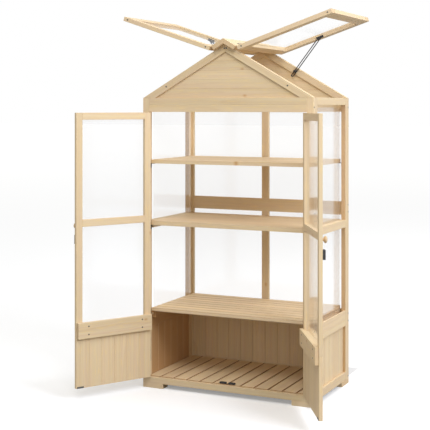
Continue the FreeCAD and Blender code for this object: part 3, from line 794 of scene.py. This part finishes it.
def screw_pattern():
    """A tree that puts a screw head on each point, facing outwards and turned at random."""
    pattern = Arrangement("screw_pattern", {
        "Head": "NodeSocketObject",
        "Seed": "NodeSocketInt",
        "Finish": "NodeSocketMaterial",
    })
    head = pattern.node(
        "GeometryNodeObjectInfo", None, {"Object": pattern.given("Head")}, output="Geometry"
    )
    outward = pattern.node(
        "GeometryNodeInputNamedAttribute", {"data_type": "FLOAT_VECTOR"}, {"Name": "outward"}
    )
    facing = pattern.node("FunctionNodeAlignRotationToVector", {"axis": "Z"}, {"Vector": outward})
    spin = pattern.node(
        "FunctionNodeAxisAngleToRotation", None,
        {"Axis": (0, 0, 1), "Angle": pattern.random_number(math.pi)},
    )
    turned = pattern.node(
        "FunctionNodeRotateRotation", {"rotation_space": "LOCAL"},
        {"Rotation": facing, "Rotate By": spin},
    )
    points = pattern.node("GeometryNodeMeshToPoints", None, {"Mesh": pattern.given("Geometry")})
    pattern.close(pattern.node(
        "GeometryNodeInstanceOnPoints", None,
        {"Points": points, "Instance": head, "Rotation": turned},
    ))
    return pattern


def add_piece(name, mesh, finish, node):
    """A dressed piece that stands for a frame node and rides on its body."""
    mesh.materials.clear()
    mesh.materials.append(finish_named(finish))
    mesh.name = name
    piece = placed(name, mesh)
    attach(piece, frame["nodes"][node]["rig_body"])
    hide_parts(node)


def repaint(nodes, finish):
    """A better material on frame nodes whose shape stays."""
    for node in nodes:
        for holder in frame["nodes"][node].material_slots:
            holder.material = finish_named(finish)


def add_boards(node, finish, edge, edge_shade=0.0, shade=no_shade):
    """Boards that differ from each other, one by one."""
    boards = Boards(f"{node} {sizes().seed}", edge_shade, shade)
    for triangles in solids(node):
        boards.add(triangles, edge)
    add_piece(node + "_planed", boards.mesh(node), finish, node)


def add_rows(node, finish, edge, side=None, apart=0, edge_shade=0.0, shade=no_shade):
    """Equal boards in a straight row. A node may hold one row on each side of an axis.

    The first boards can be made apart from the row, because they have notches.
    """
    boards = solids(node)
    if apart:
        notched = Boards(node + " apart", edge_shade)
        for triangles in boards[:apart]:
            notched.add(triangles, edge)
        add_piece(node + "_notched", notched.mesh(node), finish, node)
        boards = boards[apart:]
    rows = [boards]
    if side is not None:
        rows = [[each for each in boards if sign * middle_of(each)[side] > 0] for sign in (-1, 1)]
    tree = board_row()
    for number, row in enumerate(rows):
        template = Boards(node, edge_shade, shade)
        template.add(row[0], edge)
        step = (middle_of(row[-1]) - middle_of(row[0])) / (len(row) - 1)
        values = {
            "Count": len(row),
            "Step": list(step),
            "Seed": sizes().seed + 31 * number + len(node),
            "Finish": finish_named(finish),
        }
        name = node + "_row" + (f"_{number + 1}" if len(rows) > 1 else "")
        mesh = tree.grow(name, template.mesh(node, numbered=False), values)
        add_piece(name, mesh, finish, node)


def add_spun(name, profile, centre, axis, segments, finish, node, lobes=0, depth=0.0):
    """A closed shape turned round an axis, from a profile of (radius, height) from pole to pole.

    Its outline can have lobes, with hollows of that depth between them.
    """
    side = axis.orthogonal().normalized()
    other = axis.cross(side)
    points, grain, faces = [], [], []
    for radius, height in profile:
        for step in range(segments if radius > 0 else 1):
            angle = 2 * math.pi * step / segments
            hollow = depth * (0.5 + 0.5 * math.cos(lobes * angle)) if lobes and radius else 0.0
            a, b = (radius - hollow) * math.cos(angle), (radius - hollow) * math.sin(angle)
            points.append(centre + side * a + other * b + axis * height)
            grain.append((height, a, b))
    last = len(points) - 1
    top = last - segments
    for step in range(segments):
        following = (step + 1) % segments
        faces.append((0, 1 + following, 1 + step))
        for low in range(1, top, segments):
            high = low + segments
            faces.append((low + step, low + following, high + following, high + step))
        faces.append((top + step, top + following, last))
    mesh = bpy.data.meshes.new(name)
    mesh.from_pydata(points, [], faces)
    add_vectors(mesh, "grain", grain)
    shape = bmesh.new()
    shape.from_mesh(mesh)
    bmesh.ops.recalc_face_normals(shape, faces=shape.faces)
    shape.to_mesh(mesh)
    shape.free()
    mesh.shade_smooth()
    add_piece(name, mesh, finish, node)


def smooth_profile(points, steps):
    """Points on a smooth curve through a profile's points."""
    ends = [points[0], *points, points[-1]]
    curve = []
    for index in range(1, len(ends) - 2):
        before, start, end, after = (Vector(ends[index + shift]) for shift in (-1, 0, 1, 2))
        for step in range(steps):
            t = step / steps
            place = 0.5 * (
                2 * start + (end - before) * t
                + (2 * before - 5 * start + 4 * end - after) * t ** 2
                + (3 * start - before - 3 * end + after) * t ** 3
            )
            curve.append((max(0.0, place.x), place.y))
    return [*curve, points[-1]]


def door_facing(door):
    """Outward direction of a door, from its frame and the side that its knob is on."""
    stile = solids(door + "_frame")[0]
    shape = welded(stile)
    normal = largest_side(shape)
    shape.free()
    towards_knob = middle_of_node(door + "_knob") - middle_of(stile)
    return normal if towards_knob.dot(normal) > 0 else -normal


def screw_head_shape():
    """A low domed screw head with a cross recess, a little narrower than the frame's plain disc."""
    sides = 16
    radius = sizes().screw_radius * 0.85
    height = sizes().screw_height
    arm = radius * 0.55
    half = radius * 0.13
    recess_floor = height * 0.35
    # Each arm of the cross is the one before it, turned by a right angle
    cross = [(half, arm), (-half, arm), (-half, half)]
    while len(cross) < 12:
        cross.append((-cross[-3][1], cross[-3][0]))
    shape = bmesh.new()

    def ring(share, z):
        angles = [2 * math.pi * step / sides + math.pi / 2 for step in range(sides)]
        reach = radius * share
        return [shape.verts.new((reach * math.cos(a), reach * math.sin(a), z)) for a in angles]

    def loop(corners):
        return [shape.edges.new((corners[i - 1], corners[i])) for i in range(len(corners))]

    def wall(low, high):
        for i in range(len(low)):
            shape.faces.new((low[i - 1], low[i], high[i], high[i - 1]))

    upper_cross = [shape.verts.new((x, y, height)) for x, y in cross]
    lower_cross = [shape.verts.new((x, y, recess_floor)) for x, y in cross]
    base = ring(1.0, 0.0)
    brim = ring(0.97, height * 0.55)
    crown = ring(0.74, height)
    bmesh.ops.bridge_loops(shape, edges=loop(crown) + loop(upper_cross))
    wall(base, brim)
    wall(brim, crown)
    wall(upper_cross, lower_cross)
    shape.faces.new(lower_cross)
    shape.faces.new(base)
    bmesh.ops.recalc_face_normals(shape, faces=shape.faces)
    mesh = bpy.data.meshes.new("screw_head")
    shape.to_mesh(mesh)
    shape.free()
    return mesh


def is_screw(triangles):
    """Whether a solid is a plain screw head: a low disc of the screw's radius."""
    centre = middle_of(triangles)
    reach = max((corner - centre).length for triangle in triangles for corner in triangle)
    return reach < sizes().screw_radius * 1.1


def screw_places(node, wood):
    """Centre on the wood and outward direction of each screw of a frame node."""
    middle = middle_of_node(wood)
    places = []
    for triangles in filter(is_screw, solids(node)):
        shape = welded(triangles)
        outward = largest_side(shape)
        shape.free()
        centre = middle_of(triangles)
        if (centre - middle).dot(outward) < 0:
            outward = -outward
        places.append((centre - outward * (sizes().screw_height / 2), outward))
    return places


def add_screws(node, wood, pattern, head):
    """Screw heads in place of the screws of a frame node, which hold that piece of wood."""
    name, finish = node + "_heads", "zinc_plated_steel"
    centres, outwards = zip(*screw_places(node, wood))
    points = bpy.data.meshes.new(node + "_points")
    points.from_pydata(centres, [], [])
    add_vectors(points, "outward", outwards)
    values = {"Head": head, "Seed": sizes().seed, "Finish": finish_named(finish)}
    add_piece(name, pattern.grow(name, points, values), finish, node)


def add_welded(name, node, parts, finish, edge=0.0):
    """Solids joined into one piece with welded corners and, if asked, rounded edges."""
    joined = bmesh.new()
    for triangles in parts:
        shape = welded(triangles)
        if edge:
            round_edges(shape, shape.edges[:], edge, segments=4)
        part = bpy.data.meshes.new("part")
        shape.to_mesh(part)
        shape.free()
        joined.from_mesh(part)
        bpy.data.meshes.remove(part)
    mesh = bpy.data.meshes.new(name)
    joined.to_mesh(mesh)
    joined.free()
    add_piece(name, mesh, finish, node)


class GREENHOUSE_OT_frame_timbers(bpy.types.Operator):
    """Plane and finish the feet, stiles, rails, posts and bearers"""

    bl_idname = "greenhouse.frame_timbers"
    bl_label = "Frame timbers"

    def execute(self, context):
        for node in FRAME_TIMBERS:
            shade = SHADES.get(node, no_shade)
            add_boards(node, "planed_pine_frame", sizes().timber_edge, shade=shade)
        return {"FINISHED"}


class GREENHOUSE_OT_roof_timbers(bpy.types.Operator):
    """Plane and finish the rakes, the ridge boards and the lid frames"""

    bl_idname = "greenhouse.roof_timbers"
    bl_label = "Roof timbers"

    def execute(self, context):
        for node in ROOF_TIMBERS:
            add_boards(node, "planed_pine_frame", sizes().timber_edge)
        return {"FINISHED"}


class GREENHOUSE_OT_boarding(bpy.types.Operator):
    """Board the lower sides and rear, and the two gables"""

    bl_idname = "greenhouse.boarding"
    bl_label = "Boarding"

    def execute(self, context):
        finish, edge = "planed_pine_boarding", sizes().board_edge
        add_rows("rear_lower_boards", finish, edge, edge_shade=0.15)
        add_rows("side_boards", finish, edge, side=0, edge_shade=0.15, shade=cabinet_shade)
        add_boards("gable_boards", finish, sizes().gable_edge, edge_shade=0.2)
        return {"FINISHED"}


class GREENHOUSE_OT_slats_and_shelves(bpy.types.Operator):
    """Lay the floor slats, the slatted cabinet top and the two shelves"""

    bl_idname = "greenhouse.slats_and_shelves"
    bl_label = "Slats and shelves"

    def execute(self, context):
        finish = "planed_pine_slats"
        add_rows("floor_slats", finish, sizes().slat_edge, edge_shade=0.9)
        add_rows("cabinet_top_slats", finish, sizes().top_slat_edge, edge_shade=0.35)
        add_rows("middle_shelf", finish, sizes().shelf_edge)
        add_rows("upper_shelf", finish, sizes().shelf_edge)
        return {"FINISHED"}


class GREENHOUSE_OT_doors(bpy.types.Operator):
    """Make the frames, lower boards and battens of both doors"""

    bl_idname = "greenhouse.doors"
    bl_label = "Doors"

    def execute(self, context):
        for door in DOORS:
            for timber in ("_frame", "_batten"):
                add_boards(door + timber, "planed_pine_frame", sizes().timber_edge)
            boards = door + "_lower_boards"
            add_rows(boards, "planed_pine_boarding", sizes().board_edge, apart=1)
        return {"FINISHED"}


class GREENHOUSE_OT_door_knobs(bpy.types.Operator):
    """Turn the two egg-shaped wooden knobs"""

    bl_idname = "greenhouse.door_knobs"
    bl_label = "Door knobs"

    def execute(self, context):
        for door in DOORS:
            node = door + "_knob"
            outward = door_facing(door)
            depths = [vertex.co.dot(outward) for vertex in frame["nodes"][node].data.vertices]
            base = min(depths)
            reach = max(depths) - base
            centre = middle_of_node(node)
            centre += outward * (base - centre.dot(outward))
            low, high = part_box(node)
            radius = (high.z - low.z) / 2
            egg = [(across * radius, along * reach) for across, along in EGG]
            profile = [(0.0, 0.0), *smooth_profile(egg, 5)]
            add_spun(node + "_turned", profile, centre, outward, 48, "turned_knob_wood", node)
        return {"FINISHED"}


class GREENHOUSE_OT_clear_sheets(bpy.types.Operator):
    """Give the side sheets, panes and lid sheets their hazy plastic"""

    bl_idname = "greenhouse.clear_sheets"
    bl_label = "Clear sheets"

    def execute(self, context):
        repaint(CLEAR_SHEETS, "hazy_clear_sheet")
        return {"FINISHED"}


class GREENHOUSE_OT_fittings(bpy.types.Operator):
    """Finish the hinges, brackets, bolt, catches and their plates"""

    bl_idname = "greenhouse.fittings"
    bl_label = "Fittings"

    def execute(self, context):
        repaint(ZINC_FITTINGS, "zinc_plated_steel")
        repaint(BLACK_FITTINGS, "black_painted_metal")
        add_welded(
            "magnetic_catches_rounded", "magnetic_catches", solids("magnetic_catches"),
            "black_moulded_plastic", sizes().catch_edge,
        )
        for part in DOORS + LIDS:
            node = part + "_fixings"
            leaves = [solid for solid in solids(node) if not is_screw(solid)]
            add_welded(node + "_leaves", node, leaves, "zinc_plated_steel")
        return {"FINISHED"}


class GREENHOUSE_OT_stay_knobs(bpy.types.Operator):
    """Mould the lobed clamp knobs of the two stays"""

    bl_idname = "greenhouse.stay_knobs"
    bl_label = "Stay knobs"

    def execute(self, context):
        for lid in LIDS:
            node = lid + "_stay_knob"
            low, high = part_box(node)
            radius = (high.x - low.x) / 2
            length = high.y - low.y
            centre = Vector(((low.x + high.x) / 2, high.y, (low.z + high.z) / 2))
            stem = 0.28 * radius
            wide = [
                vertex.co.y for vertex in frame["nodes"][node].data.vertices
                if math.hypot(vertex.co.x - centre.x, vertex.co.z - centre.z) > 0.6 * radius
            ]
            grip = high.y - max(wide)
            profile = [
                (0.0, 0.0), (stem, 0.0), (stem, grip), (0.62 * radius, grip),
                (0.7 * radius, grip + 0.0025), (0.94 * radius, grip + 0.0045),
                (radius, grip + 0.0065), (radius, length - 0.003),
                (0.93 * radius, length - 0.001), (0.8 * radius, length), (0.0, length),
            ]
            add_spun(
                node + "_grip", profile, centre, Vector((0, -1, 0)), 72, "black_moulded_plastic",
                node, sizes().grip_lobes, sizes().lobe_depth,
            )
        return {"FINISHED"}


class GREENHOUSE_OT_screws(bpy.types.Operator):
    """Drive the screws of the frame, the battens and the lids"""

    bl_idname = "greenhouse.screws"
    bl_label = "Screws"

    def execute(self, context):
        pattern = screw_pattern()
        head = bpy.data.objects.new("screw_head", screw_head_shape())
        add_screws("carcass_screws", "side_rails", pattern, head)
        for part in DOORS + LIDS:
            add_screws(part + "_fixings", part + "_frame", pattern, head)
        bpy.data.objects.remove(head)
        return {"FINISHED"}


def place_camera():
    """The camera at the photograph's place, for a picture as wide as it is high."""
    data = bpy.data.cameras.new("camera")
    data.lens = CAMERA_LENS
    data.shift_y = CAMERA_SHIFT
    camera = placed("camera", data)
    camera.location = CAMERA_PLACE
    camera.rotation_euler = (math.radians(90), 0, CAMERA_TURN)
    bpy.context.scene.camera = camera


def light_world():
    """White for the camera and for reflections, and a softer even light on the object."""
    world = bpy.data.worlds.new("studio")
    world.use_nodes = True
    bpy.context.scene.world = world
    graph = Graph(world.node_tree)
    graph.tree.nodes.clear()
    seen, mirrored, passed = graph.node(
        "ShaderNodeLightPath", output=("Is Camera Ray", "Is Glossy Ray", "Is Transmission Ray")
    )
    direct = (seen + mirrored + passed).at_most(1.0)
    ambient = colours().ambient
    strength = direct * (1.0 - ambient) + ambient
    values = {"Color": (1, 1, 1, 1), "Strength": strength}
    shade = graph.node("ShaderNodeBackground", None, values)
    graph.node("ShaderNodeOutputWorld", None, {"Surface": shade})


def add_lamp(name, place, size, power, tint=(1, 1, 1)):
    """A square soft lamp that is turned to the object."""
    data = bpy.data.lights.new(name, "AREA")
    data.color = tint
    data.shape = "SQUARE"
    data.size = size
    data.energy = power
    lamp = placed(name, data)
    lamp.location = place
    lamp.rotation_euler = (LAMP_AIM - Vector(place)).to_track_quat("-Z", "Y").to_euler()


class GREENHOUSE_OT_stage(bpy.types.Operator):
    """Set up the pale floor, the soft light and the camera"""

    bl_idname = "greenhouse.stage"
    bl_label = "Stage"

    def execute(self, context):
        reach = 60.0
        corners = [(-reach, -reach, 0), (reach, -reach, 0), (reach, reach, 0), (-reach, reach, 0)]
        mesh = bpy.data.meshes.new("floor")
        mesh.from_pydata(corners, [], [(0, 1, 2, 3)])
        mesh.materials.append(finish_named("studio_floor"))
        floor = placed("floor", mesh)
        light_world()
        tones = colours()
        add_lamp("key_lamp", (4.2, -1.6, 3.4), 2.2, tones.key_power, tones.key_tint)
        add_lamp("front_lamp", (1.0, -3.2, 4.3), 1.6, tones.front_power)
        add_lamp("rear_lamp", (1.5, 3.5, 4.5), 2.6, tones.rear_power)
        place_camera()
        context.scene.view_settings.view_transform = "Standard"
        return {"FINISHED"}


OPERATORS = (
    GREENHOUSE_OT_frame_timbers,
    GREENHOUSE_OT_roof_timbers,
    GREENHOUSE_OT_boarding,
    GREENHOUSE_OT_slats_and_shelves,
    GREENHOUSE_OT_doors,
    GREENHOUSE_OT_door_knobs,
    GREENHOUSE_OT_clear_sheets,
    GREENHOUSE_OT_fittings,
    GREENHOUSE_OT_stay_knobs,
    GREENHOUSE_OT_screws,
    GREENHOUSE_OT_stage,
)


class GREENHOUSE_PT_pieces(bpy.types.Panel):
    """Lists the sizes, the colours and the pieces"""

    bl_idname = "GREENHOUSE_PT_pieces"
    bl_label = "Greenhouse"
    bl_space_type = "VIEW_3D"
    bl_region_type = "UI"
    bl_category = "Greenhouse"

    def draw(self, context):
        for group in (sizes(), colours()):
            column = self.layout.column()
            for name in group.__annotations__:
                column.prop(group, name)
        for operator in OPERATORS:
            self.layout.operator(operator.bl_idname)


CLASSES = (GreenhouseSizes, GreenhouseColours, *OPERATORS, GREENHOUSE_PT_pieces)


def register():
    for each in CLASSES:
        bpy.utils.register_class(each)
    bpy.types.Scene.greenhouse_sizes = PointerProperty(type=GreenhouseSizes)
    bpy.types.Scene.greenhouse_colours = PointerProperty(type=GreenhouseColours)


def unregister():
    del bpy.types.Scene.greenhouse_colours
    del bpy.types.Scene.greenhouse_sizes
    for each in reversed(CLASSES):
        bpy.utils.unregister_class(each)


def main():
    register()
    bpy.ops.greenhouse.frame_timbers()
    bpy.ops.greenhouse.roof_timbers()
    bpy.ops.greenhouse.boarding()
    bpy.ops.greenhouse.slats_and_shelves()
    bpy.ops.greenhouse.doors()
    bpy.ops.greenhouse.door_knobs()
    bpy.ops.greenhouse.clear_sheets()
    bpy.ops.greenhouse.fittings()
    bpy.ops.greenhouse.stay_knobs()
    bpy.ops.greenhouse.screws()
    bpy.ops.greenhouse.stage()


if __name__ == "__main__":
    main()
